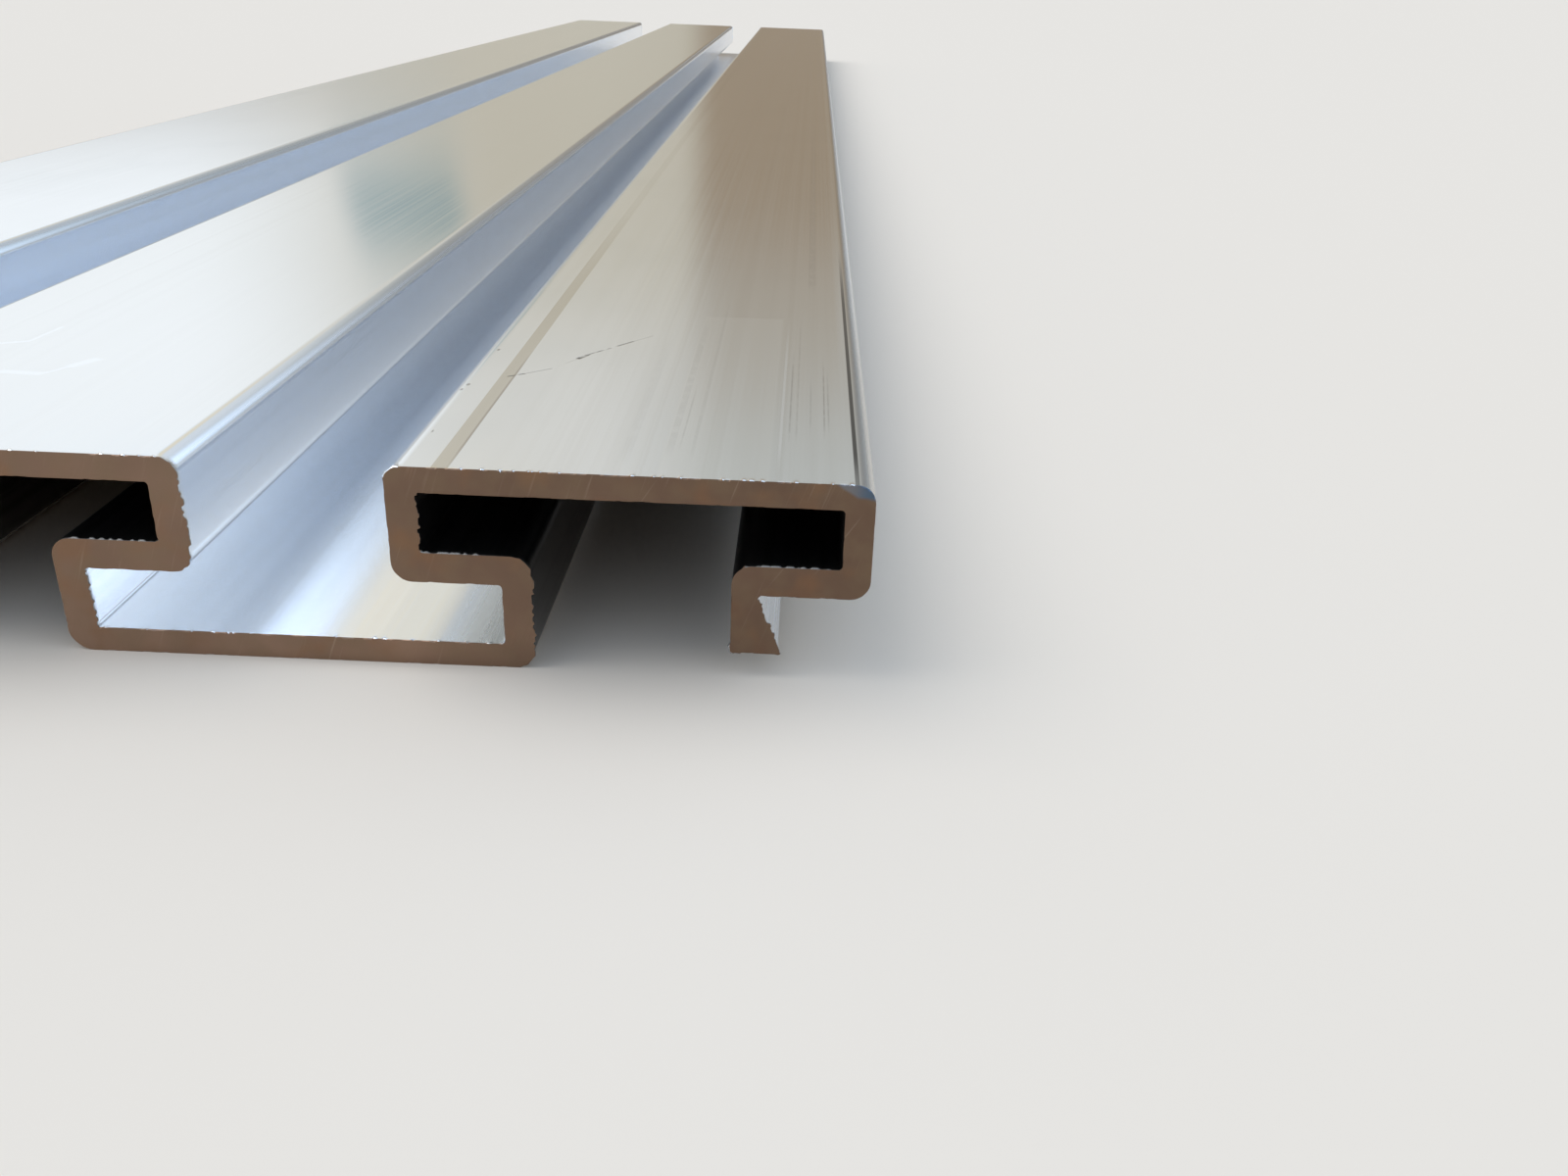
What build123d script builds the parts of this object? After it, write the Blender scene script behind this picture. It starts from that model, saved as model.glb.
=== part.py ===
from build123d import *
import math
import os

# Snake-shaped T-slot profile: plates alternate between the top and the bottom of the section, so that
# T-slots open upward and downward in turn. All sizes are in millimetres.

# Overall layout
length = 700.0
slot_pitch = 50.0
top_plate_count = 3

# Wall sizes of the repeated section
plate_width = 35.2
plate_thickness = 1.95
web_thickness = 2.15
lip_thickness = 2.35
lower_cavity_height = 4.9
upper_cavity_height = 4.7

# Corner radii of the section
crown_radius = 1.4
base_radius = 1.7
shoulder_radius = 1.5
inner_radius = 0.3

# Foot at the right edge, one half of the joining hook
foot_top_width = 1.8
foot_bottom_width = 3.7
foot_clearance = 0.1
foot_tip_radius = 0.25

# Catch at the left edge, the other half, shaped so that a foot slides in between it and the flange tip
catch_gap = 0.5
catch_base_thickness = 1.5
catch_tip_thickness = 0.8
catch_clearance = 0.4
flange_tip_radius = 0.8

# Levels above the underside
lip_bottom = plate_thickness + lower_cavity_height
lip_top = lip_bottom + lip_thickness
cavity_top = lip_top + upper_cavity_height
height = cavity_top + plate_thickness

# Distances from the middle line of a plate
plate_half = plate_width / 2
inner_half = plate_half - web_thickness
opening_half = (slot_pitch - plate_width) / 2


def top_plate_centres():
    """Middle lines of the top plates, from left to right."""
    span = (top_plate_count - 1) * slot_pitch
    return [index * slot_pitch - span / 2 for index in range(top_plate_count)]


def foot_corners(left_face):
    """Corners of the foot, from its inner slope round to its outer face."""
    foot_bottom = plate_thickness + foot_clearance
    return [
        (left_face + foot_top_width, lip_bottom, inner_radius),
        (left_face + foot_bottom_width, foot_bottom, foot_tip_radius),
        (left_face, foot_bottom, foot_tip_radius),
    ]


def catch_corners(flange_tip):
    """Corners of the flange and the leaning catch, from the flange tip to the slot floor."""
    foot_bottom = plate_thickness + foot_clearance
    lean = (foot_bottom_width - foot_top_width) / (lip_bottom - foot_bottom)
    catch_top = lip_bottom - catch_clearance
    base_left = flange_tip + foot_bottom_width + catch_gap + lean * foot_clearance
    tip_left = base_left - lean * (catch_top - plate_thickness)
    tip_radius = catch_tip_thickness / 4
    return [
        (flange_tip, 0.0, flange_tip_radius),
        (flange_tip, plate_thickness, flange_tip_radius),
        (base_left, plate_thickness, inner_radius),
        (tip_left, catch_top, tip_radius),
        (tip_left + catch_tip_thickness, catch_top, tip_radius),
        (base_left + catch_base_thickness, plate_thickness, inner_radius),
    ]


def upper_side():
    """Corners met from left to right along the side that faces up."""
    centres = top_plate_centres()
    corners = catch_corners(centres[0] - slot_pitch / 2 - plate_half)
    for centre in centres:
        slot_right = centre - slot_pitch / 2 + inner_half
        corners.append((slot_right, plate_thickness, inner_radius))
        corners.append((slot_right, lip_bottom, inner_radius))
        corners.append((centre - plate_half, lip_bottom, shoulder_radius))
        corners.append((centre - plate_half, height, crown_radius))
        corners.append((centre + plate_half, height, crown_radius))
        corners.append((centre + plate_half, lip_bottom, shoulder_radius))
        if centre != centres[-1]:
            slot_left = centre + slot_pitch / 2 - inner_half
            corners.append((slot_left, lip_bottom, inner_radius))
            corners.append((slot_left, plate_thickness, inner_radius))
    return corners


def under_side():
    """Corners met from right to left along the side that faces down, starting with the foot."""
    centres = top_plate_centres()
    corners = foot_corners(centres[-1] + opening_half)
    for centre in reversed(centres):
        corners.append((centre + opening_half, lip_top, shoulder_radius))
        corners.append((centre + inner_half, lip_top, inner_radius))
        corners.append((centre + inner_half, cavity_top, inner_radius))
        corners.append((centre - inner_half, cavity_top, inner_radius))
        corners.append((centre - inner_half, lip_top, inner_radius))
        corners.append((centre - opening_half, lip_top, shoulder_radius))
        corners.append((centre - opening_half, 0.0, base_radius))
        if centre != centres[0]:
            corners.append((centre - slot_pitch + opening_half, 0.0, base_radius))
    return corners


def rounded_corner(before, corner, after):
    """Start, middle and end of the arc that rounds one corner."""
    x, z, radius = corner
    back = (Vector(before[0], before[1]) - Vector(x, z)).normalized()
    ahead = (Vector(after[0], after[1]) - Vector(x, z)).normalized()
    half_angle = math.radians(back.get_angle(ahead)) / 2
    reach = radius / math.tan(half_angle)
    bisector = (back + ahead).normalized()
    to_middle = radius / math.sin(half_angle) - radius
    start = Vector(x, z) + back * reach
    middle = Vector(x, z) + bisector * to_middle
    end = Vector(x, z) + ahead * reach
    return start, middle, end


def section_face():
    """The whole section as one face, with every corner rounded."""
    corners = upper_side() + under_side()
    arcs = []
    for index, corner in enumerate(corners):
        before = corners[index - 1]
        after = corners[(index + 1) % len(corners)]
        arcs.append(rounded_corner(before, corner, after))
    edges = []
    for index, (start, middle, end) in enumerate(arcs):
        next_start = arcs[(index + 1) % len(arcs)][0]
        edges.append(ThreePointArc(start, middle, end).edge())
        edges.append(Line(end, next_start).edge())
    return make_face(edges)


# The section is drawn upright and pushed along Y, then set with the middle of its underside at the origin
upright = Plane.XZ * section_face()
profile = extrude(upright, amount=length / 2, both=True)
box = profile.bounding_box()
profile = Pos(-(box.min.X + box.max.X) / 2, -(box.min.Y + box.max.Y) / 2, -box.min.Z) * profile
profile = profile.solid()
profile.label = "t_slot_profile"

os.makedirs("parts", exist_ok=True)
export_step(profile, "parts/t_slot_profile.step")
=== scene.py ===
import math

import bpy
from mathutils import Matrix, Vector, noise


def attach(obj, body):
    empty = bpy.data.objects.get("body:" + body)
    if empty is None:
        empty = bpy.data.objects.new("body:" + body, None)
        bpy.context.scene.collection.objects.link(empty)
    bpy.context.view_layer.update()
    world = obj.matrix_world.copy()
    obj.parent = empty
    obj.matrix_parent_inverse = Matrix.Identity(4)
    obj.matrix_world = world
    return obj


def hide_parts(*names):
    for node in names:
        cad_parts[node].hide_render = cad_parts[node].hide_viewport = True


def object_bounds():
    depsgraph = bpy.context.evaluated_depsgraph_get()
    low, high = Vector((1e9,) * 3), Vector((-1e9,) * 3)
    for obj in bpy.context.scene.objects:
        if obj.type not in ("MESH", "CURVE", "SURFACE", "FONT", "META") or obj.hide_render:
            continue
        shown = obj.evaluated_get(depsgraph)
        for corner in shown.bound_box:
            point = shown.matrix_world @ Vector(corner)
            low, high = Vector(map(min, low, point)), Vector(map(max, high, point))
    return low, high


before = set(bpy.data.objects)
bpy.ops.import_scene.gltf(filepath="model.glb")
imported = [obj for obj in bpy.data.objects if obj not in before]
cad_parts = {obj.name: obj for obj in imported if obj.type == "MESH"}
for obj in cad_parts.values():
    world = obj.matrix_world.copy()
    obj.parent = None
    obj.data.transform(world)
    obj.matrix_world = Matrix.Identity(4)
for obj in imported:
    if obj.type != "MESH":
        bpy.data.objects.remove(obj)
cad_low, cad_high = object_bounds()

MM = 0.001
NODE = "t_slot_profile"

# Section sizes, as in the solid
slot_pitch = 50 * MM
plate_width = 35.2 * MM
plate_thickness = 1.95 * MM
web_thickness = 2.15 * MM
lip_thickness = 2.35 * MM
lower_cavity_height = 4.9 * MM
upper_cavity_height = 4.7 * MM
crown_radius = 1.4 * MM
base_radius = 1.7 * MM
shoulder_radius = 1.5 * MM
inner_radius = 0.3 * MM
foot_top_width = 1.8 * MM
foot_bottom_width = 3.7 * MM
foot_clearance = 0.1 * MM
foot_tip_radius = 0.25 * MM
catch_gap = 0.5 * MM
catch_base_thickness = 1.5 * MM
catch_tip_thickness = 0.8 * MM
catch_clearance = 0.4 * MM
flange_tip_radius = 0.8 * MM

plate_half = plate_width / 2
inner_half = plate_half - web_thickness
opening_half = (slot_pitch - plate_width) / 2
lip_bottom = plate_thickness + lower_cavity_height
lip_top = lip_bottom + lip_thickness
cavity_top = lip_top + upper_cavity_height
shoulder_top = lip_bottom + shoulder_radius
foot_bottom = plate_thickness + foot_clearance
height = cad_high.z
front_y = cad_low.y
back_y = cad_high.y

# Middle lines of the top plates, from the right edge of the frame's box
right_plate = cad_high.x - plate_half
top_plates = [right_plate - 2 * slot_pitch, right_plate - slot_pitch, right_plate]

# Places of the materials on the mesh
MILL, UNDER_SLOT, SAWN, TORN = range(4)

# Mesh fineness
outline_step = 0.12 * MM
arc_step = math.radians(11)

# Depths behind a sawn end of the rings that carry its torn rim
rim_depths = (0.0, 0.08 * MM, 0.20 * MM, 0.45 * MM, 0.80 * MM)

# Share of its full size that a burr or a notch has at each ring
lip_burr_rings = (0.1, 1.0, 0.5, 0.0, 0.0)
wall_burr_rings = (0.9, 1.0, 0.3, 0.0, 0.0)
glint_burr_rings = (0.3, 1.0, 0.5, 0.0, 0.0)
notch_rings = (-1.0, -0.08, 0.0, 0.0, 0.0)

# Sizes of burrs and notches, in millimetres: the least, and how much more they can have
lip_burr_least = 0.03
lip_burr_more = 0.11
wall_burr_least = 0.02
fine_teeth = 0.13
broad_teeth = 0.12
glint_burr_least = 0.08
glint_burr_more = 0.30
notch_least = 0.03
notch_more = 0.16

# Factors for the burrs inside a slot's mouth, and for the notches that don't face up
mouth_factor = 1.5
side_notch_share = 0.4

# Rise of a bright dot on the top edge at each ring, in millimetres
dot_rises = (0.0, 0.07, 0.03, 0.0, 0.0)

# Two corners of the section where larger burrs glint, and how far round them
right_plate_corner = Vector((right_plate - plate_half, height))
right_plate_reach = 1.1 * MM
foot_corner = Vector((right_plate + opening_half, foot_bottom))
foot_reach = 0.8 * MM


def catch_corners():
    """Flange tip and leaning catch at the left edge."""
    tip = cad_low.x
    lean = (foot_bottom_width - foot_top_width) / (lip_bottom - foot_bottom)
    catch_top = lip_bottom - catch_clearance
    base_left = tip + foot_bottom_width + catch_gap + lean * foot_clearance
    tip_left = base_left - lean * (catch_top - plate_thickness)
    tip_radius = catch_tip_thickness / 4
    return [
        (tip, 0.0, flange_tip_radius),
        (tip, plate_thickness, flange_tip_radius),
        (base_left, plate_thickness, inner_radius),
        (tip_left, catch_top, tip_radius),
        (tip_left + catch_tip_thickness, catch_top, tip_radius),
        (base_left + catch_base_thickness, plate_thickness, inner_radius),
    ]


def foot_corners():
    """Slanted foot under the right edge."""
    left_face = top_plates[-1] + opening_half
    return [
        (left_face + foot_top_width, lip_bottom, inner_radius),
        (left_face + foot_bottom_width, foot_bottom, foot_tip_radius),
        (left_face, foot_bottom, foot_tip_radius),
    ]


def upper_corners():
    """Corners met from left to right along the side that faces up."""
    corners = catch_corners()
    for centre in top_plates:
        slot_right = centre - slot_pitch / 2 + inner_half
        corners.append((slot_right, plate_thickness, inner_radius))
        corners.append((slot_right, lip_bottom, inner_radius))
        corners.append((centre - plate_half, lip_bottom, shoulder_radius))
        corners.append((centre - plate_half, height, crown_radius))
        corners.append((centre + plate_half, height, crown_radius))
        corners.append((centre + plate_half, lip_bottom, shoulder_radius))
        if centre != top_plates[-1]:
            slot_left = centre + slot_pitch / 2 - inner_half
            corners.append((slot_left, lip_bottom, inner_radius))
            corners.append((slot_left, plate_thickness, inner_radius))
    return corners


def under_corners():
    """Corners met from right to left along the side that faces down, starting with the foot."""
    corners = foot_corners()
    for centre in reversed(top_plates):
        corners.append((centre + opening_half, lip_top, shoulder_radius))
        corners.append((centre + inner_half, lip_top, inner_radius))
        corners.append((centre + inner_half, cavity_top, inner_radius))
        corners.append((centre - inner_half, cavity_top, inner_radius))
        corners.append((centre - inner_half, lip_top, inner_radius))
        corners.append((centre - opening_half, lip_top, shoulder_radius))
        corners.append((centre - opening_half, 0.0, base_radius))
        if centre != top_plates[0]:
            corners.append((centre - slot_pitch + opening_half, 0.0, base_radius))
    return corners


def corner_arc(before, corner, after):
    """Points along the arc that rounds one corner."""
    point = Vector(corner[:2])
    radius = corner[2]
    back = (Vector(before[:2]) - point).normalized()
    ahead = (Vector(after[:2]) - point).normalized()
    half_angle = back.angle(ahead) / 2
    bisector = (back + ahead).normalized()
    centre = point + bisector * (radius / math.sin(half_angle))
    start = point + back * (radius / math.tan(half_angle)) - centre
    end = point + ahead * (radius / math.tan(half_angle)) - centre
    sweep = start.angle_signed(end)
    count = max(3, math.ceil(abs(sweep) / arc_step))
    arc = []
    for index in range(count + 1):
        turn = -sweep * index / count
        cos, sin = math.cos(turn), math.sin(turn)
        arc.append(centre + Vector((start.x * cos - start.y * sin, start.x * sin + start.y * cos)))
    return arc


def section_outline():
    """Closed outline as points in x and z, with the straight runs divided evenly."""
    corners = upper_corners() + under_corners()
    arcs = []
    for index, corner in enumerate(corners):
        arcs.append(corner_arc(corners[index - 1], corner, corners[(index + 1) % len(corners)]))
    points = []
    for index, arc in enumerate(arcs):
        points += arc
        start = arc[-1]
        end = arcs[(index + 1) % len(arcs)][0]
        pieces = max(1, round((end - start).length / outline_step))
        for step in range(1, pieces):
            points.append(start.lerp(end, step / pieces))
    return points


def outward_normals(points):
    """Unit normals that point out of the metal."""
    normals = []
    for index in range(len(points)):
        along = points[(index + 1) % len(points)] - points[index - 1]
        normals.append(Vector((-along.y, along.x)).normalized())
    return normals


def running_lengths(points):
    """Distance along the outline to each point, in millimetres."""
    lengths = [0.0]
    for before, after in zip(points, points[1:]):
        lengths.append(lengths[-1] + (after - before).length / MM)
    return lengths


def step_up(value, low, high):
    """Smooth step from nought at low to one at high."""
    share = min(1.0, max(0.0, (value - low) / (high - low)))
    return share * share * (3 - 2 * share)


def rim_shifts(rings, size):
    """How far each rim ring stands out of the outline for a burr or notch of one size in millimetres."""
    return [share * size * MM for share in rings]


def rim_at(place, point, normal, seed):
    """The shifts of the rim rings at one place along the outline, and the material of the first ring."""
    def wave(frequency, layer):
        """Smooth noise about nought, with its frequency in waves per millimetre."""
        return noise.noise(Vector((place * frequency, seed * 7.31, layer * 3.77)))

    patch = step_up(wave(0.13, 3), -0.25, 0.0)
    on_lip = lip_top - 0.1 * MM < point.y < cavity_top and normal.y > 0.6
    if on_lip:
        burr = patch * (lip_burr_least + lip_burr_more * step_up(wave(2.6, 4), -0.05, 0.10))
        return rim_shifts(lip_burr_rings, burr), TORN

    at_right_face = point.x > cad_high.x - crown_radius
    if normal.x > 0.3 and not at_right_face:
        in_mouth = point.y < lip_top - shoulder_radius
        fine = fine_teeth * step_up(wave(3.2, 5), -0.05, 0.12)
        broad = broad_teeth * step_up(wave(1.3, 6), 0.0, 0.15)
        burr = max(0.7, patch) * normal.x * (wall_burr_least + (fine + broad))
        return rim_shifts(wall_burr_rings, burr * (mouth_factor if in_mouth else 1.0)), TORN

    by_right_plate = (point - right_plate_corner).length < right_plate_reach
    by_foot = (point - foot_corner).length < foot_reach
    if by_right_plate or by_foot:
        burr = glint_burr_least + glint_burr_more * abs(wave(4.2, 7))
        return rim_shifts(glint_burr_rings, burr), MILL

    dotted = normal.y > 0.9 and wave(3.1, 8) > 0.38
    if dotted:
        return [rise * MM for rise in dot_rises], MILL

    notch = step_up(wave(1.0, 1), 0.0, 0.14) * (notch_least + notch_more * abs(wave(2.4, 2)))
    return rim_shifts(notch_rings, notch * (1.0 if normal.y > 0.3 else side_notch_share)), SAWN


def rim_rings(points, normals, seed):
    """The rim of one sawn end: for each point of the outline, its shifts and its material."""
    places = running_lengths(points)
    return [rim_at(place, point, normal, seed) for place, point, normal in zip(places, points, normals)]


def inside_under_slot(point):
    """Whether a point of the skin faces into one of the slots that open downward."""
    slack = 0.05 * MM
    if not base_radius / 2 < point.z < cavity_top + slack:
        return False
    away = min(abs(point.x - centre) for centre in top_plates)
    in_mouth = away < opening_half + shoulder_radius + slack
    in_cavity = away < inner_half + slack and point.z > lip_top - slack
    return in_mouth or in_cavity


def sharpen_cut_edges(mesh):
    """Marks the edges of the two end faces sharp."""
    end_edges = set()
    for polygon in mesh.polygons:
        if polygon.material_index == SAWN:
            end_edges.update(polygon.edge_keys)
    for edge in mesh.edges:
        edge.use_edge_sharp = edge.key in end_edges


def profile_mesh():
    """The whole extrusion: a swept skin with torn rims, and one sawn face at each end."""
    points = section_outline()
    normals = outward_normals(points)
    count = len(points)
    front_rim = rim_rings(points, normals, 1)
    back_rim = rim_rings(points, normals, 2)
    rings = []
    for ring, depth in enumerate(rim_depths):
        rings.append((front_y + depth, [shifts[ring] for shifts, material in front_rim]))
    rings.append(((front_y + back_y) / 2, [0.0] * count))
    for ring, depth in reversed(list(enumerate(rim_depths))):
        rings.append((back_y - depth, [shifts[ring] for shifts, material in back_rim]))
    verts = []
    for y, shifts in rings:
        for point, normal, shift in zip(points, normals, shifts):
            moved = point + normal * shift
            verts.append((moved.x, y, moved.y))
    faces = []
    for ring in range(len(rings) - 1):
        for index in range(count):
            following = (index + 1) % count
            near, far = ring * count, (ring + 1) * count
            faces.append((near + index, near + following, far + following, far + index))
    skin_faces = len(faces)
    last = (len(rings) - 1) * count
    faces.append(tuple(reversed(range(count))))
    faces.append(tuple(last + index for index in range(count)))
    mesh = bpy.data.meshes.new("extruded_profile")
    mesh.from_pydata(verts, [], faces)
    for material in (mill_aluminium(), under_slot_painted_shade(), sawn_face(), torn_rim()):
        mesh.materials.append(material)
    for polygon in mesh.polygons:
        polygon.use_smooth = polygon.index < skin_faces
        if polygon.index >= skin_faces:
            polygon.material_index = SAWN
        elif polygon.index < count:
            polygon.material_index = front_rim[polygon.index][1]
        elif polygon.index >= skin_faces - count:
            polygon.material_index = back_rim[polygon.index % count][1]
        # Painted shade: the skin inside the slots that open downward takes the dark under-slot material
        elif inside_under_slot(polygon.center):
            polygon.material_index = UNDER_SLOT
    sharpen_cut_edges(mesh)
    mesh.validate()
    return mesh


class Graph:
    """A node tree with short calls for the nodes used here."""

    def __init__(self, tree):
        self.tree = tree

    def add(self, kind, inputs=None, **settings):
        node = self.tree.nodes.new(kind)
        for name, value in settings.items():
            setattr(node, name, value)
        for name, value in (inputs or {}).items():
            self.feed(node.inputs[name], value)
        return node

    def feed(self, socket, value):
        """Links another socket, or sets a plain value."""
        if isinstance(value, bpy.types.NodeSocket):
            self.tree.links.new(value, socket)
        else:
            socket.default_value = value

    def split(self, vector):
        """The three parts of a vector."""
        outputs = self.add("ShaderNodeSeparateXYZ", {"Vector": vector}).outputs
        return outputs["X"], outputs["Y"], outputs["Z"]

    def math(self, operation, first, second=0.0):
        node = self.add("ShaderNodeMath", operation=operation)
        self.feed(node.inputs[0], first)
        self.feed(node.inputs[1], second)
        return node.outputs["Value"]

    def plus(self, first, second):
        return self.math("ADD", first, second)

    def minus(self, first, second):
        return self.math("SUBTRACT", first, second)

    def times(self, *values):
        """Product of several values."""
        product = values[0]
        for value in values[1:]:
            product = self.math("MULTIPLY", product, value)
        return product

    def most(self, *values):
        """Largest of several values."""
        largest = values[0]
        for value in values[1:]:
            largest = self.math("MAXIMUM", largest, value)
        return largest

    def ramp(self, value, low, high, to_low=0.0, to_high=1.0):
        """Smooth step from to_low at low to to_high at high."""
        node = self.add("ShaderNodeMapRange", interpolation_type="SMOOTHSTEP")
        for name, number in (("Value", value), ("From Min", low), ("From Max", high),
                             ("To Min", to_low), ("To Max", to_high)):
            self.feed(node.inputs[name], number)
        return node.outputs["Result"]

    def fall(self, value, low, high):
        """Smooth step from one at low to nought at high."""
        return self.ramp(value, low, high, 1.0, 0.0)

    def band(self, value, middle, width, soft):
        """One inside a band of a value, falling softly to nought outside it."""
        away = self.math("ABSOLUTE", self.minus(value, middle))
        return self.fall(away, width / 2, width / 2 + soft)

    def mix(self, share, first, second):
        """Colour between two colours."""
        node = self.add("ShaderNodeMix", data_type="RGBA")
        self.feed(node.inputs[0], share)
        self.feed(node.inputs[6], first)
        self.feed(node.inputs[7], second)
        return node.outputs[2]


class Surface(Graph):
    """A material with its object coordinates at hand."""

    def __init__(self, name):
        self.material = bpy.data.materials.new(name)
        self.material.use_nodes = True
        super().__init__(self.material.node_tree)
        self.shader = self.tree.nodes["Principled BSDF"]
        coordinates = self.add("ShaderNodeTexCoord").outputs
        self.place = coordinates["Object"]
        self.x, self.y, self.z = self.split(self.place)
        self.facing = self.split(coordinates["Normal"])

    def noise(self, scale, detail=2.0, turn=(0.0, 0.0, 0.0), offset=(0.0, 0.0, 0.0), rough=0.5):
        """Noise stretched by one scale for each axis, in waves per metre."""
        turned = self.add("ShaderNodeMapping", {"Vector": self.place, "Rotation": turn, "Location": offset})
        scaled = self.add("ShaderNodeVectorMath", operation="MULTIPLY")
        self.feed(scaled.inputs[0], turned.outputs["Vector"])
        self.feed(scaled.inputs[1], scale)
        sizes = {"Vector": scaled.outputs["Vector"], "Scale": 1.0, "Detail": detail, "Roughness": rough}
        return self.add("ShaderNodeTexNoise", sizes).outputs["Fac"]

    def bump(self, relief, distance, strength):
        sizes = {"Height": relief, "Distance": distance, "Strength": strength}
        return self.add("ShaderNodeBump", sizes).outputs["Normal"]

    def set(self, **inputs):
        """Feeds sockets of the shader, named with _ for a space."""
        for name, value in inputs.items():
            self.feed(self.shader.inputs[name.replace("_", " ")], value)


class Skin(Surface):
    """The extruded skin's material, with its noises and its places over the section at hand.

    Each place is a share from nought to one. Depth is counted from the sawn front, and across from the
    left edge of the right plate or of the middle one.
    """

    def __init__(self, name):
        super().__init__(name)
        # Noises drawn out along the profile: fine hairs, die lines, slow drift, soft clouds and slot streaks
        self.hair = self.noise((5200, 2, 5200), detail=2)
        self.lines = self.noise((1100, 0.8, 1100), detail=5, rough=0.6)
        self.drift = self.noise((90, 12, 90), detail=2)
        self.cloud = self.noise((70, 45, 70), detail=3)
        self.streaks = self.noise((420, 1.5, 420), detail=2)
        # Even noise that breaks up scratches and fine lines
        self.broken = self.noise((900, 900, 900), detail=2)

        self.depth = self.minus(self.y, front_y)
        self.across = self.minus(self.x, right_plate - plate_half)
        self.across_middle = self.plus(self.across, slot_pitch)
        self.on_top = self.ramp(self.z, height - 0.6 * MM, height - 0.2 * MM)
        self.in_slot = self.fall(self.z, height - 1.6 * MM, height - 0.6 * MM)
        sideways = self.math("ABSOLUTE", self.facing[0])
        upward = self.math("ABSOLUTE", self.facing[2])
        self.on_corner = self.ramp(self.math("MINIMUM", sideways, upward), 0.1, 0.6)
        self.on_right = self.times(self.on_top, self.ramp(self.across, -0.1 * MM, 0.1 * MM))
        left_of_slot = self.fall(self.across, -9 * MM, -8 * MM)
        from_middle = self.ramp(self.across_middle, -0.1 * MM, 0.1 * MM)
        self.on_middle = self.times(self.on_top, from_middle, left_of_slot)


def colour(red, green, blue):
    """Linear colour from one written as it shows, 0 to 255."""
    def linear(level):
        level /= 255
        return level / 12.92 if level <= 0.04045 else ((level + 0.055) / 1.055) ** 2.4
    return (linear(red), linear(green), linear(blue), 1.0)


# Tones of the skin on the top plates and in the slots, among them painted light and painted shade
skin_tone = colour(246, 247, 248)
cloud_tone = colour(238, 240, 241)
middle_near_tone = colour(243, 243, 242)
middle_far_painted_shade_tone = colour(239, 239, 237)
slot_near_painted_light_tone = colour(255, 255, 255)
slot_deep_painted_shade_tone = colour(247, 250, 254)
right_slot_deep_painted_shade_tone = colour(240, 242, 245)
under_lip_painted_shade_tone = colour(231, 230, 226)
streak_and_shoulder_shade_tone = colour(200, 202, 206)
right_crown_painted_shade_tone = colour(188, 185, 178)
crown_from_right = 0.8 * MM
rounded_edge_painted_shade_tone = colour(205, 206, 205)
cloud_strength = 0.5
streak_strength = 0.10
shoulder_painted_shade_strength = 0.5

# Stretches over which those tones change: behind the front, then across from the right plate's left edge
middle_darkens = (20 * MM, 80 * MM)
slot_deepens = (5 * MM, 60 * MM)
right_slot_deepens = (10 * MM, 110 * MM)
under_lip_ends = (15 * MM, 35 * MM)
rounded_edge_starts = (15 * MM, 80 * MM)
slot_deepens_across = (-3 * MM, 1 * MM)
right_slot_starts = (-45 * MM, -40 * MM)
under_lip_starts = (0.5 * MM, 5 * MM)
worn_starts = (8 * MM, 20 * MM)

# Roughness of the skin on its smooth parts and its hairs, then what is added on bright scratches, in the
# slots, in the slot close to the right plate and under that plate, and on the rounded edges
smooth_roughness = 0.11
hair_roughness = 0.15
bright_scratch_roughness = 0.1
slot_roughness = 0.11
slot_by_plate_roughness = 0.05
slot_under_plate_roughness = 0.08
rounded_edge_roughness = 0.13

# Relief of the skin: the bump's height, and in multiples of it the hairs, the die lines and the cut marks
relief_height = 0.003 * MM
relief_strength = 0.5
hair_relief = 0.4
line_relief = 0.3
slot_grain_share = 0.35
cut_relief = -6.0
stripe_relief = -1.5

# Strength of the dull die lines everywhere, and what the worn part of the right plate adds
die_line_strength = 0.03
worn_line_strength = 0.11

# Tones of the marks
worn_line_tone = colour(196, 190, 180)
tarnish_tone = colour(222, 208, 188)
clean_tone = colour(255, 254, 252)
stripe_tone = colour(215, 209, 197)
stripe_edge_tone = colour(176, 168, 156)
fine_line_tone = colour(120, 114, 106)
speck_tone = colour(130, 118, 108)
dull_line_tone = colour(226, 226, 224)
bright_tone = colour(255, 255, 255)
groove_tone = colour(48, 44, 41)

# Dull stripe along the right plate, with a darker edge on its right for a part of the way
stripe_middle = 4.15 * MM
stripe_width = 1.10 * MM
stripe_softness = 0.12 * MM
stripe_waver = 0.5 * MM
stripe_fades = (40 * MM, 120 * MM)
stripe_far_strength = 0.25
stripe_edge_width = 0.14 * MM
stripe_edge_softness = 0.05 * MM
stripe_edge_middle = 15 * MM
stripe_edge_length = 18 * MM
stripe_edge_fade = 8 * MM

# Dark groove near the right edge of the right plate
groove_from_right = 1.40 * MM
groove_width = 0.24 * MM
groove_softness = 0.08 * MM
groove_starts = (0.0, 7 * MM)
groove_start_strength = 0.7
groove_length = 88 * MM
groove_full_share = 0.6

# Light line along the right plate
light_line = 28.1 * MM
light_line_width = 0.16 * MM
light_line_softness = 0.06 * MM
light_line_starts = (1 * MM, 9 * MM)
light_line_start_strength = 0.1
light_line_strength = 0.7
light_line_length = 50 * MM
light_line_full_share = 0.6

# Cleaner patch at the front of the right plate
clean_left = 19.5 * MM
clean_right = 27.5 * MM
clean_depth = 47 * MM
clean_side_softness = 0.2 * MM
clean_back_softness = 0.4 * MM

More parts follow.
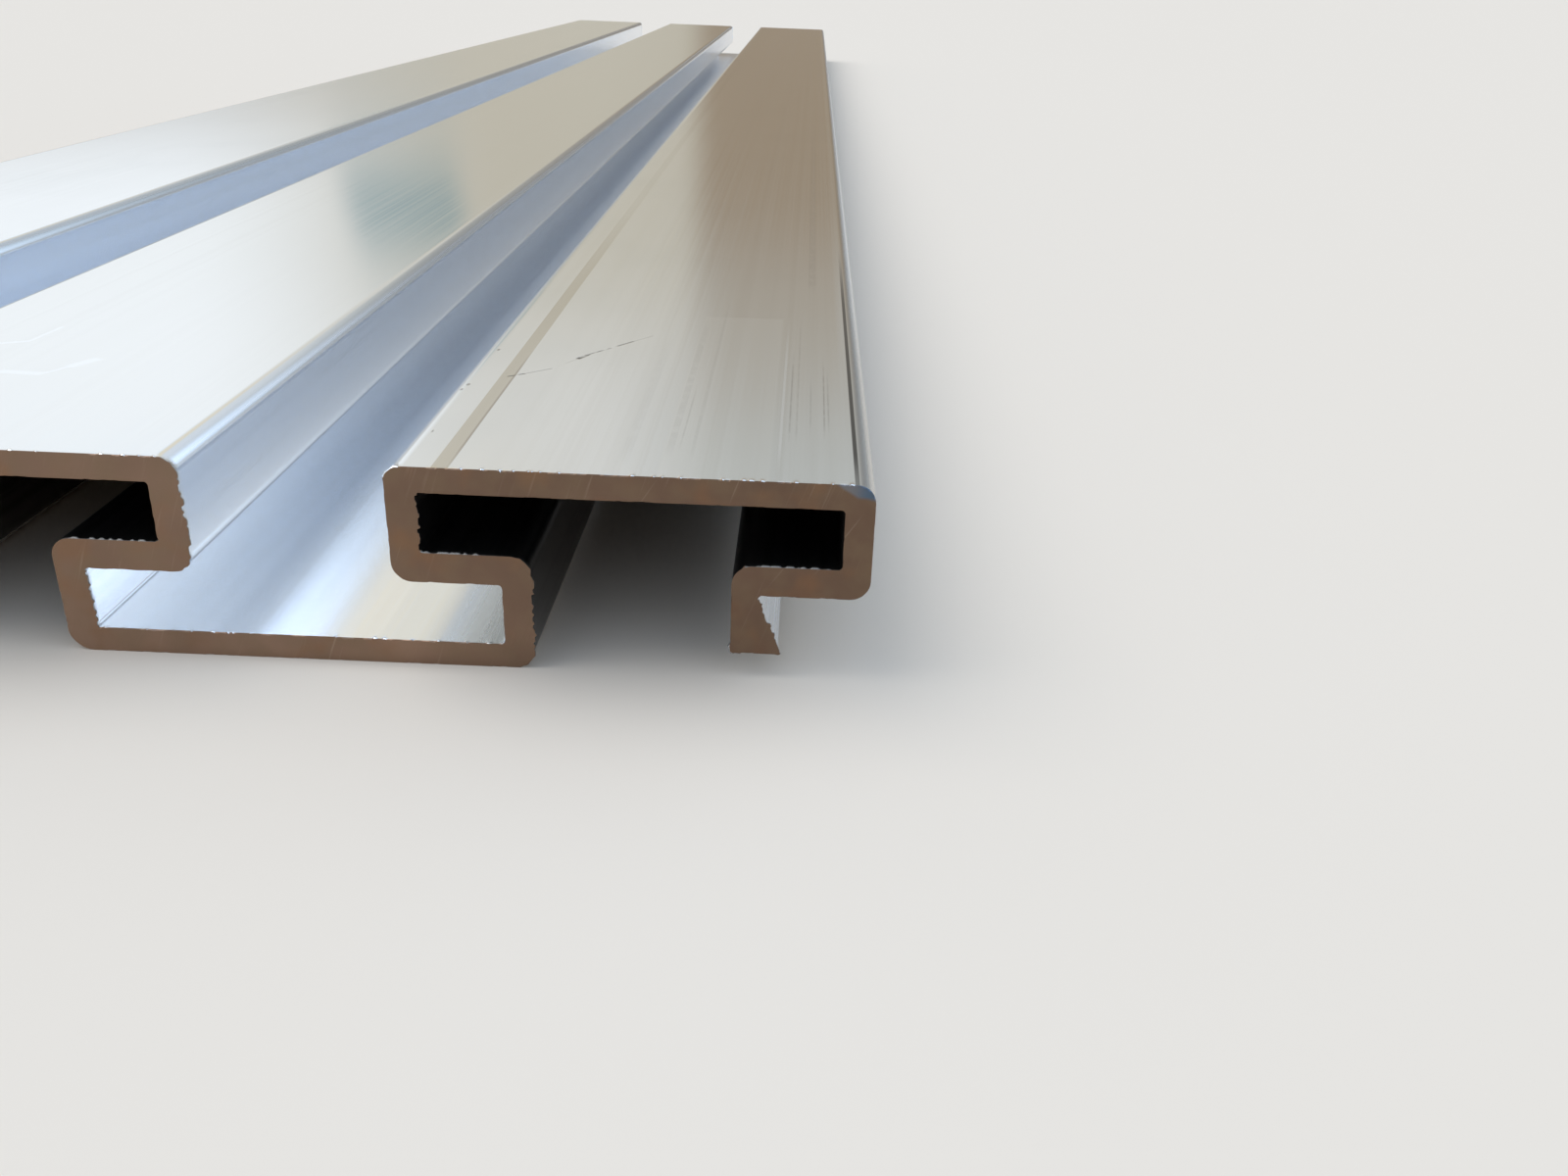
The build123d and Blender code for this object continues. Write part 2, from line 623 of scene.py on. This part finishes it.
# Tarnished area behind it, whose left edge slants
tarnish_edge = 19 * MM
tarnish_edge_depth = 45 * MM
tarnish_spread = 0.071
tarnish_softness = 7 * MM
tarnish_streaks = 5 * MM
tarnish_starts = (8 * MM, 55 * MM)
tarnish_start_strength = 0.1
tarnish_right_end = (plate_width - 2.6 * MM, plate_width - 1.6 * MM)

# Lines over a plate, in millimetres from its left edge and behind the front: their corners, then the width
# and strength of each stretch. A dark scratch on the right plate, and on the middle one two wavy bright
# scratches with a soft dull line beside them
dark_scratch = (
    [(4.2, 23.0), (5.4, 24.0), (7.4, 25.9), (9.2, 29.4), (9.9, 30.9), (13.4, 36.1), (15.0, 38.4)],
    [(0.20, 0.9), (0.12, 0.5), (0.08, 0.25), (0.40, 1.0), (0.20, 0.7), (0.10, 0.3)],
)
front_bright_scratch = (
    [(5.0, 18.0), (12.6, 18.5), (16.2, 18.3), (17.3, 20.6), (18.5, 23.3)],
    [(0.3, 1.0), (0.9, 1.0), (0.3, 1.0), (1.0, 1.0)],
)
back_bright_scratch = (
    [(4.0, 26.5), (8.0, 26.8), (10.0, 27.8), (10.3, 33.0)],
    [(0.35, 1.0), (0.5, 1.0), (0.35, 1.0)],
)
dull_line = (
    [(3.0, 11.0), (9.0, 10.2), (13.5, 9.6)],
    [(0.5, 1.0), (0.5, 1.0)],
)

# How softly a stretch of such a line ends
stretch_end_softness = 0.15 * MM

# Fine lengthwise lines on the right plate, in millimetres: place across, width, start and end behind the
# front, then strength
fine_line_softness = 0.06 * MM
fine_line_fade_in = 3 * MM
fine_line_full_share = 0.7
fine_lines = [
    (16.8, 0.70, 4, 42, 0.06),
    (19.9, 0.50, 6, 50, 0.10),
    (20.6, 0.10, 8, 24, 0.14),
    (21.6, 0.20, 6, 60, 0.08),
    (28.75, 0.09, 11, 36, 0.30),
    (29.3, 0.08, 10, 50, 0.16),
    (30.4, 0.08, 12, 28, 0.16),
    (31.5, 0.08, 12, 34, 0.32),
    (31.85, 0.08, 13, 30, 0.22),
    (30.4, 0.80, 62, 230, 0.12),
]

# Small dark specks on the right plate, in millimetres: place across and behind the front, then half sizes
# across and along
specks = [
    (1.15, 18.8, 0.12, 0.30),
    (1.40, 20.2, 0.16, 0.35),
    (1.60, 7.9, 0.06, 0.30),
    (1.55, 31.3, 0.14, 0.30),
]


def stretch_share(g, across, start, end, width):
    """One on a straight line between two places of a plate."""
    start = Vector(start) * MM
    along = Vector(end) * MM - start
    length = along.length
    along.normalize()
    from_x = g.minus(across, start.x)
    from_y = g.minus(g.depth, start.y)
    travel = g.plus(g.times(from_x, along.x), g.times(from_y, along.y))
    aside = g.minus(g.times(from_x, along.y), g.times(from_y, along.x))
    on_length = g.band(travel, length / 2, length, stretch_end_softness)
    return g.times(on_length, g.band(aside, 0.0, width * MM / 2, width * MM / 2))


def path_share(g, across, path):
    """Strength of a bent line over a plate, given by its corners and its stretches."""
    corners, stretches = path
    shares = []
    for start, end, (width, strength) in zip(corners, corners[1:], stretches):
        shares.append(g.times(stretch_share(g, across, start, end, width), strength))
    return g.most(*shares)


def fine_line_share(g):
    shares = []
    for place, width, start, end, strength in fine_lines:
        side = g.band(g.across, place * MM, width * MM, fine_line_softness)
        fades_in = g.ramp(g.depth, start * MM - fine_line_fade_in, start * MM + fine_line_fade_in)
        fades_out = g.ramp(g.depth, end * MM * fine_line_full_share, end * MM, strength, 0.0)
        shares.append(g.times(side, fades_in, fades_out))
    broken = g.ramp(g.broken, 0.30, 0.55, 0.4, 1.0)
    return g.times(g.most(*shares), broken, g.on_right)


def speck_share(g):
    shares = []
    for x, y, half_x, half_y in specks:
        from_x = g.math("DIVIDE", g.minus(g.across, x * MM), half_x * MM)
        from_y = g.math("DIVIDE", g.minus(g.depth, y * MM), half_y * MM)
        away = g.plus(g.times(from_x, from_x), g.times(from_y, from_y))
        shares.append(g.fall(away, 0.4, 1.6))
    return g.times(g.most(*shares), g.on_right)


def stripe_shares(g):
    """The dull stripe, and its darker edge."""
    wavering = g.plus(g.across, g.times(g.minus(g.drift, 0.5), stripe_waver))
    body = g.band(wavering, stripe_middle, stripe_width, stripe_softness)
    fading = g.ramp(g.depth, *stripe_fades, 1.0, stripe_far_strength)
    edge = g.band(wavering, stripe_middle + stripe_width / 2, stripe_edge_width, stripe_edge_softness)
    edge_part = g.band(g.depth, stripe_edge_middle, stripe_edge_length, stripe_edge_fade)
    return g.times(body, g.on_right, fading), g.times(edge, g.on_right, edge_part)


def groove_share(g):
    line = g.band(g.across, plate_width - groove_from_right, groove_width, groove_softness)
    fades_out = g.fall(g.depth, groove_length * groove_full_share, groove_length)
    fades_in = g.ramp(g.depth, *groove_starts, groove_start_strength, 1.0)
    return g.times(line, g.on_right, fades_out, fades_in)


def light_line_share(g):
    line = g.band(g.across, light_line, light_line_width, light_line_softness)
    fades_out = g.fall(g.depth, light_line_length * light_line_full_share, light_line_length)
    fades_in = g.ramp(g.depth, *light_line_starts, light_line_start_strength, light_line_strength)
    return g.times(line, fades_out, fades_in, g.on_right)


def tarnish_share(g):
    edge = g.plus(g.across, g.times(g.minus(g.depth, tarnish_edge_depth), tarnish_spread))
    streaked_edge = g.plus(edge, g.times(g.lines, tarnish_streaks))
    right_of_edge = g.ramp(streaked_edge, tarnish_edge, tarnish_edge + tarnish_softness)
    left_of_groove = g.fall(g.across, *tarnish_right_end)
    fades_in = g.ramp(g.depth, *tarnish_starts, tarnish_start_strength, 1.0)
    return g.times(right_of_edge, left_of_groove, fades_in, g.on_right)


def cleaner_share(g):
    from_left = g.ramp(g.across, clean_left - clean_side_softness, clean_left + clean_side_softness)
    to_right = g.fall(g.across, clean_right - clean_side_softness, clean_right + clean_side_softness)
    to_back = g.fall(g.depth, clean_depth - clean_back_softness, clean_depth + clean_back_softness)
    return g.times(from_left, to_right, to_back, g.on_right)


def slot_tone(g):
    """Tone in the slots that open upward, with soft streaks.

    Painted light brightens them at the front; painted shade darkens them deeper in, under the lip and on the
    shoulders.
    """
    # Painted light at the front of the slots, painted shade deeper in, most in the slot by the right plate
    deep = g.most(g.ramp(g.depth, *slot_deepens), g.ramp(g.across, *slot_deepens_across))
    in_right_slot = g.ramp(g.across, *right_slot_starts)
    far_in_right_slot = g.times(g.ramp(g.depth, *right_slot_deepens), in_right_slot)
    deep_tone = g.mix(far_in_right_slot, slot_deep_painted_shade_tone, right_slot_deep_painted_shade_tone)
    tone = g.mix(deep, slot_near_painted_light_tone, deep_tone)
    # Painted shade under the lip of the right plate, near the front
    from_lip = g.ramp(g.across, *under_lip_starts)
    to_plate_middle = g.fall(g.across, plate_half, plate_half + MM)
    under_lip = g.times(from_lip, to_plate_middle, g.fall(g.depth, *under_lip_ends))
    tone = g.mix(under_lip, tone, under_lip_painted_shade_tone)
    tone = g.mix(g.ramp(g.streaks, 0.42, 0.66, 0.0, streak_strength), tone, streak_and_shoulder_shade_tone)
    # Painted shade on the lower rounded shoulders, in the same tone as the streaks
    at_shoulder = g.band(g.z, lip_bottom + shoulder_radius / 2, shoulder_radius, 0.1 * MM)
    return g.mix(g.times(g.on_corner, at_shoulder, shoulder_painted_shade_strength), tone, streak_and_shoulder_shade_tone)


def plain_tone(g):
    """Tone of the skin before any mark: the plates, the slots and the rounded edges, with painted light and
    shade.
    """
    tone = g.mix(g.ramp(g.cloud, 0.45, 0.75, 0.0, cloud_strength), skin_tone, cloud_tone)
    # Painted shade: the middle plate darker further back from the front
    middle_tone = g.mix(g.ramp(g.depth, *middle_darkens), middle_near_tone, middle_far_painted_shade_tone)
    tone = g.mix(g.on_middle, tone, middle_tone)
    dull = g.times(path_share(g, g.across_middle, dull_line), g.on_middle)
    tone = g.mix(g.times(dull, 0.5), tone, dull_line_tone)
    tone = g.mix(g.in_slot, tone, slot_tone(g))
    # Painted shade along the right crown of the right plate, where the metal would mirror bright light
    right_crown = g.ramp(g.across, plate_width - groove_from_right, plate_width - crown_from_right)
    tone = g.mix(right_crown, tone, right_crown_painted_shade_tone)
    # Painted shade on the rounded edges above the shoulders, further back from the front
    above_shoulder = g.ramp(g.z, shoulder_top, shoulder_top + MM)
    rounded_edge = g.times(g.on_corner, g.ramp(g.depth, *rounded_edge_starts), above_shoulder)
    return g.mix(rounded_edge, tone, rounded_edge_painted_shade_tone)


def skin_roughness(g, bright):
    """Fine hairs of gloss, blurred in the slots, on the rounded edges and along the bright scratches."""
    hairs = g.ramp(g.hair, 0.3, 0.7, smooth_roughness, hair_roughness)
    even = g.plus(hairs, g.times(bright, bright_scratch_roughness))
    up_to_right_plate = g.ramp(g.across, -8 * MM, -3 * MM, slot_roughness, slot_by_plate_roughness)
    under_right_plate = g.ramp(g.across, 1 * MM, 4 * MM, 0.0, slot_under_plate_roughness)
    in_slot = g.times(g.in_slot, g.plus(up_to_right_plate, under_right_plate))
    return g.plus(even, g.most(in_slot, g.times(g.on_corner, rounded_edge_roughness)))


def mill_aluminium():
    """Extruded skin: smooth bright metal with faint die lines, and the marks of the top plates."""
    g = Skin("mill_aluminium")
    stripe, stripe_edge = stripe_shares(g)
    scratch = g.times(path_share(g, g.across, dark_scratch), g.ramp(g.broken, 0.36, 0.50), g.on_right)
    cut = g.most(groove_share(g), scratch)
    front_bright = path_share(g, g.across_middle, front_bright_scratch)
    back_bright = path_share(g, g.across_middle, back_bright_scratch)
    bright = g.most(g.times(g.most(front_bright, back_bright), g.on_middle), light_line_share(g))
    worn = g.times(g.ramp(g.across, *worn_starts), g.on_right)
    line_strength = g.plus(g.times(worn, worn_line_strength), die_line_strength)
    worn_lines = g.times(g.ramp(g.lines, 0.45, 0.70), line_strength)

    # Each mark over the ones before it, with its strength
    tone = plain_tone(g)
    for share, strength, mark_tone in (
        (worn_lines, 1.0, worn_line_tone),
        (tarnish_share(g), 0.4, tarnish_tone),
        (cleaner_share(g), 0.35, clean_tone),
        (stripe, 1.0, stripe_tone),
        (stripe_edge, 0.8, stripe_edge_tone),
        (fine_line_share(g), 1.0, fine_line_tone),
        (speck_share(g), 0.6, speck_tone),
        (bright, 0.8, bright_tone),
        (cut, 0.95, groove_tone),
    ):
        tone = g.mix(g.times(share, strength), tone, mark_tone)

    cuts = g.plus(g.times(cut, cut_relief), g.times(stripe, stripe_relief))
    die_lines = g.plus(g.times(g.hair, hair_relief), g.times(g.lines, line_relief))
    grain = g.times(die_lines, g.ramp(g.in_slot, 0.0, 1.0, 1.0, slot_grain_share))
    normal = g.bump(g.plus(grain, cuts), relief_height, relief_strength)
    g.set(Base_Color=tone, Metallic=1.0, Roughness=skin_roughness(g, bright), Normal=normal)
    return g.material


def under_slot_painted_shade():
    """Skin inside the slots that open downward, painted far darker than the plates: painted shade."""
    g = Surface("under_slot_painted_shade")
    lines = g.noise((1100, 0.8, 1100), detail=5, rough=0.6)
    tone = g.mix(g.ramp(lines, 0.42, 0.72), colour(124, 122, 120), colour(108, 106, 104))
    g.set(Base_Color=tone, Metallic=1.0, Roughness=0.3)
    return g.material


# Sawn ends: slants of the saw marks, tones and relief
saw_mark_slant = math.radians(-20)
cross_mark_slant = math.radians(-33)
# Warm brown ground tones of the sawn face: a painted reflection of a brown surface, with painted light on
# the left
sawn_left_painted_reflection_tone = colour(156, 130, 112)
sawn_right_painted_reflection_tone = colour(113, 92, 78)
sawn_low_left_painted_light_tone = colour(172, 143, 123)
mottle_tone = colour(134, 117, 94)
warm_spot_tone = colour(146, 108, 78)
saw_mark_tone = colour(196, 178, 160)
cross_mark_tone = colour(200, 184, 168)
# Painted reflection of a cool sky on the filed corner: greyer inside, bluer further out
filed_inner_painted_reflection_tone = colour(120, 120, 124)
filed_outer_painted_reflection_tone = colour(90, 106, 124)
saw_relief_height = 0.03 * MM
saw_relief_strength = 0.5

# Filed corner of the sawn front, at the top right, painted bluish as a painted reflection of the sky: its
# width and height, and the slope of its lower edge
filed_width = 2.7 * MM
filed_height = 1.0 * MM
filed_slope = 0.75
filed_raggedness = 0.9 * MM


def filed_share(g, from_corner, mottle):
    """The filed corner's painted reflection, with a ragged lower edge, on the front end only."""
    below_top = g.minus(height, g.z)
    wedge = g.minus(g.math("MINIMUM", g.times(from_corner, filed_slope), filed_height), below_top)
    ragged = g.plus(wedge, g.times(g.minus(mottle, 0.5), filed_raggedness))
    on_front = g.fall(g.y, -10 * MM, 10 * MM)
    return g.times(g.ramp(ragged, -0.15 * MM, 0.25 * MM), on_front)


def sawn_face():
    """Satin sawn end with fine slanted saw marks, in a warm brown-grey that is a painted reflection, with
    painted light to the left and low on the left.
    """
    g = Surface("sawn_face")
    marks = g.noise((2600, 100, 110), detail=3, turn=(0.0, saw_mark_slant, 0.0))
    cross = g.noise((2600, 100, 90), detail=2, turn=(0.0, cross_mark_slant, 0.0), offset=(0.3, 0.0, 0.1))
    cloud = g.noise((120, 120, 120), detail=2)
    mottle = g.noise((420, 420, 420), detail=2)
    warm = g.noise((260, 260, 260), detail=2, offset=(0.2, 0.0, 0.4))
    # Painted reflection and light: lighter on the left, darker to the right
    side = g.plus(g.x, g.times(g.minus(cloud, 0.5), 60 * MM))
    base = g.mix(g.ramp(side, -30 * MM, 85 * MM), sawn_left_painted_reflection_tone, sawn_right_painted_reflection_tone)
    # Painted light: lighter low on the left
    low_left = g.times(g.ramp(g.z, 0.0, 7 * MM, 0.6, 0.0), g.ramp(side, 20 * MM, 80 * MM, 1.0, 0.1))
    base = g.mix(low_left, base, sawn_low_left_painted_light_tone)
    for pattern, low, high, strength, tone in (
        (mottle, 0.35, 0.70, 0.30, mottle_tone),
        (warm, 0.50, 0.72, 0.35, warm_spot_tone),
        (marks, 0.60, 0.80, 0.25, saw_mark_tone),
        (cross, 0.68, 0.82, 0.20, cross_mark_tone),
    ):
        base = g.mix(g.ramp(pattern, low, high, 0.0, strength), base, tone)
    from_corner = g.minus(g.x, cad_high.x - filed_width)
    # Painted reflection on the filed corner
    filed_tone = g.mix(g.ramp(from_corner, 0.8 * MM, 2.2 * MM), filed_inner_painted_reflection_tone, filed_outer_painted_reflection_tone)
    base = g.mix(filed_share(g, from_corner, mottle), base, filed_tone)
    normal = g.bump(g.plus(marks, g.times(cross, 0.5)), saw_relief_height, saw_relief_strength)
    g.set(Base_Color=base, Metallic=1.0, Roughness=0.42, Normal=normal)
    return g.material


def torn_rim():
    """Bare metal torn up by the saw along the cut."""
    g = Surface("torn_rim")
    g.set(Base_Color=colour(152, 149, 143), Metallic=1.0, Roughness=0.5)
    return g.material


def pale_floor():
    g = Surface("pale_floor")
    g.set(Base_Color=colour(224, 212, 197), Roughness=1.0, Specular_IOR_Level=0.0)
    return g.material


def add_profile():
    piece = bpy.data.objects.new("extruded_profile", profile_mesh())
    bpy.context.scene.collection.objects.link(piece)
    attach(piece, "root")
    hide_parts(NODE)


# Half the side of the square floor, in metres
floor_half = 40.0


def add_floor():
    corners = [(-floor_half, -floor_half, 0), (floor_half, -floor_half, 0),
               (floor_half, floor_half, 0), (-floor_half, floor_half, 0)]
    mesh = bpy.data.meshes.new("floor")
    mesh.from_pydata(corners, [], [(0, 1, 2, 3)])
    mesh.materials.append(pale_floor())
    floor = bpy.data.objects.new("floor", mesh)
    bpy.context.scene.collection.objects.link(floor)


# Light levels of the studio surround: the far wall's right and middle parts, a panel to each side, the upper
# wall with a cream area beside it, a cool patch, and what is overhead and behind
far_right_low = (0.32, 0.26, 0.19, 1)
far_right_middle = (0.415, 0.397, 0.357, 1)
far_right_high = (0.465, 0.48, 0.46, 1)
far_middle_low = (0.53, 0.50, 0.42, 1)
far_middle_high = (0.68, 0.68, 0.65, 1)
left_panel_low = (0.50, 0.49, 0.46, 1)
left_panel_middle = (0.94, 0.99, 1.03, 1)
left_panel_high = (0.80, 0.92, 1.06, 1)
right_panel_low = (0.35, 0.37, 0.39, 1)
right_panel_high = (1.35, 1.69, 2.14, 1)
upper_wall = (0.68, 0.74, 0.81, 1)
cream_area = (0.78, 0.73, 0.59, 1)
cool_patch = (0.10, 0.25, 0.31, 1)
overhead = (0.70, 0.84, 1.04, 1)
behind = (0.32, 0.29, 0.27, 1)

# Where the parts of the surround begin, each over a soft stretch. Heights are the upward part of a direction
far_right_middle_height = (0.15, 0.24)
far_right_high_height = (0.28, 0.34)
far_middle_high_height = (0.19, 0.30)
left_panel_middle_height = (0.075, 0.15)
left_panel_high_height = (0.31, 0.40)
upper_wall_height = (0.38, 0.46)
cream_height = (0.34, 0.42)
overhead_height = (0.33, 0.50)
overhead_higher_ahead = 0.17

# Sideways places are the part of a direction that points right, which the bright right panel counts with a
# share of the height
crisp_seam = (-0.066, -0.094)
soft_seam = (-0.035, -0.165)
seam_softens_height = (0.22, 0.32)
seam_least_soft_share = 0.15
left_panel_place = (-0.21, -0.43)
upper_wall_place = (-0.24, -0.16)
cream_middle = -0.28
cream_width = 0.10
cream_softness = 0.07
cream_strength = 0.85
right_panel_place = (0.08, 0.30)
right_panel_high_place = (0.60, 0.76)
right_panel_lean = 0.8

# Ahead and behind, by the part of a direction that points ahead: where the surround turns to what is
# behind, and where the overhead part moves up
behind_place = (-0.1, -0.55)
overhead_ahead_place = (-0.1, 0.3)

# The cool patch: its middle and width at its foot, its lean, and the heights where it begins and ends
cool_patch_middle = -0.284
cool_patch_width = 0.056
cool_patch_softness = 0.018
cool_patch_foot = 0.155
cool_patch_lean = -0.4
cool_patch_begins = (0.140, 0.157)
cool_patch_ends = (0.165, 0.205)

# The plain backdrop that shows behind the floor
backdrop_tone = colour(226, 223, 218)


def far_wall(g, x, z):
    """Far wall, whose two parts meet at a line that is crisp below and soft above."""
    right = g.mix(g.ramp(z, *far_right_middle_height), far_right_low, far_right_middle)
    right = g.mix(g.ramp(z, *far_right_high_height), right, far_right_high)
    middle = g.mix(g.ramp(z, *far_middle_high_height), far_middle_low, far_middle_high)
    soft_share = g.ramp(z, *seam_softens_height, seam_least_soft_share, 1.0)
    crisp_step = g.times(g.ramp(x, *crisp_seam), g.minus(1.0, soft_share))
    soft_step = g.times(g.ramp(x, *soft_seam), soft_share)
    return g.mix(g.plus(crisp_step, soft_step), right, middle)


def left_panel(g, z):
    tone = g.mix(g.ramp(z, *left_panel_middle_height), left_panel_low, left_panel_middle)
    return g.mix(g.ramp(z, *left_panel_high_height), tone, left_panel_high)


def cool_patch_share(g, x, z):
    """A small leaning patch low on the left of the far wall."""
    leaning = g.plus(x, g.times(g.minus(z, cool_patch_foot), cool_patch_lean))
    sides = g.band(leaning, cool_patch_middle, cool_patch_width, cool_patch_softness)
    return g.times(sides, g.ramp(z, *cool_patch_begins), g.fall(z, *cool_patch_ends))


def surround_tone(g):
    """Tone of the surround by direction, with x to the right, y away from the front and z up."""
    x, y, z = g.split(g.add("ShaderNodeTexCoord").outputs["Generated"])
    tone = g.mix(g.ramp(x, *left_panel_place), far_wall(g, x, z), left_panel(g, z))
    tone = g.mix(cool_patch_share(g, x, z), tone, cool_patch)
    in_upper_wall = g.times(g.ramp(z, *upper_wall_height), g.ramp(x, *upper_wall_place))
    tone = g.mix(in_upper_wall, tone, upper_wall)
    cream_sides = g.band(x, cream_middle, cream_width, cream_softness)
    tone = g.mix(g.times(g.ramp(z, *cream_height), cream_sides, cream_strength), tone, cream_area)
    tone = g.mix(g.ramp(x, *right_panel_place), tone, right_panel_low)
    leaning = g.plus(x, g.times(z, right_panel_lean))
    tone = g.mix(g.ramp(leaning, *right_panel_high_place), tone, right_panel_high)
    tone = g.mix(g.ramp(y, *behind_place), tone, behind)
    from_overhead = g.minus(z, g.ramp(y, *overhead_ahead_place, 0.0, overhead_higher_ahead))
    return g.mix(g.ramp(from_overhead, *overhead_height), tone, overhead)


def add_world():
    """Soft studio surround that lights the metal and shows in it, with a plain backdrop for the camera."""
    world = bpy.data.worlds.new("studio")
    world.use_nodes = True
    bpy.context.scene.world = world
    g = Graph(world.node_tree)
    g.tree.nodes.clear()
    surround = g.add("ShaderNodeBackground", {"Color": surround_tone(g), "Strength": 1.0})
    backdrop = g.add("ShaderNodeBackground", {"Color": backdrop_tone, "Strength": 1.0})
    choose = g.add("ShaderNodeMixShader", {"Fac": g.add("ShaderNodeLightPath").outputs["Is Camera Ray"]})
    g.feed(choose.inputs[1], surround.outputs["Background"])
    g.feed(choose.inputs[2], backdrop.outputs["Background"])
    g.add("ShaderNodeOutputWorld", {"Surface": choose.outputs["Shader"]})


# Soft distant key light from the upper left, even over the whole floor
key_strength = 1.3
key_spread = math.radians(55)
key_tint = (1.0, 0.98, 0.95)
key_direction = Vector((0.7, -0.2, -1.1))


def add_key_light():
    light = bpy.data.lights.new("key_light", "SUN")
    light.energy = key_strength
    light.angle = key_spread
    light.color = key_tint
    lamp = bpy.data.objects.new("key_light", light)
    lamp.rotation_euler = key_direction.to_track_quat("-Z", "Y").to_euler()
    bpy.context.scene.collection.objects.link(lamp)


# Camera as in the photograph: pinhole sizes for a frame 1600 pixels wide, and its place from the front end
# of the right plate, at its middle line and on the floor
focal_pixels = 1348.6
frame_pixels = 1600
camera_right = 11.68 * MM
camera_back = 87.65 * MM
camera_up = 49.15 * MM
camera_yaw = math.radians(-0.27)
camera_pitch = math.radians(25.36)
camera_roll = math.radians(-2.27)


def camera_turn():
    """Rotation of the camera from its yaw, pitch and roll."""
    forward = Vector((math.sin(camera_yaw) * math.cos(camera_pitch),
                      math.cos(camera_yaw) * math.cos(camera_pitch), -math.sin(camera_pitch)))
    level_right = Vector((math.cos(camera_yaw), -math.sin(camera_yaw), 0.0))
    level_down = forward.cross(level_right)
    right = level_right * math.cos(camera_roll) + level_down * math.sin(camera_roll)
    up = level_right * math.sin(camera_roll) - level_down * math.cos(camera_roll)
    return Matrix((right, up, -forward)).transposed().to_4x4()


def add_camera():
    data = bpy.data.cameras.new("camera")
    data.sensor_width = 36.0
    data.sensor_fit = "HORIZONTAL"
    data.lens = focal_pixels * data.sensor_width / frame_pixels
    data.clip_start = 0.005
    data.clip_end = 50.0
    place = Vector((right_plate + camera_right, front_y - camera_back, camera_up))
    camera = bpy.data.objects.new("camera", data)
    camera.matrix_world = Matrix.Translation(place) @ camera_turn()
    bpy.context.scene.collection.objects.link(camera)
    bpy.context.scene.camera = camera


add_profile()
add_floor()
add_world()
add_key_light()
add_camera()
bpy.context.scene.view_settings.view_transform = "Standard"
bpy.context.scene.cycles.glossy_bounces = 10
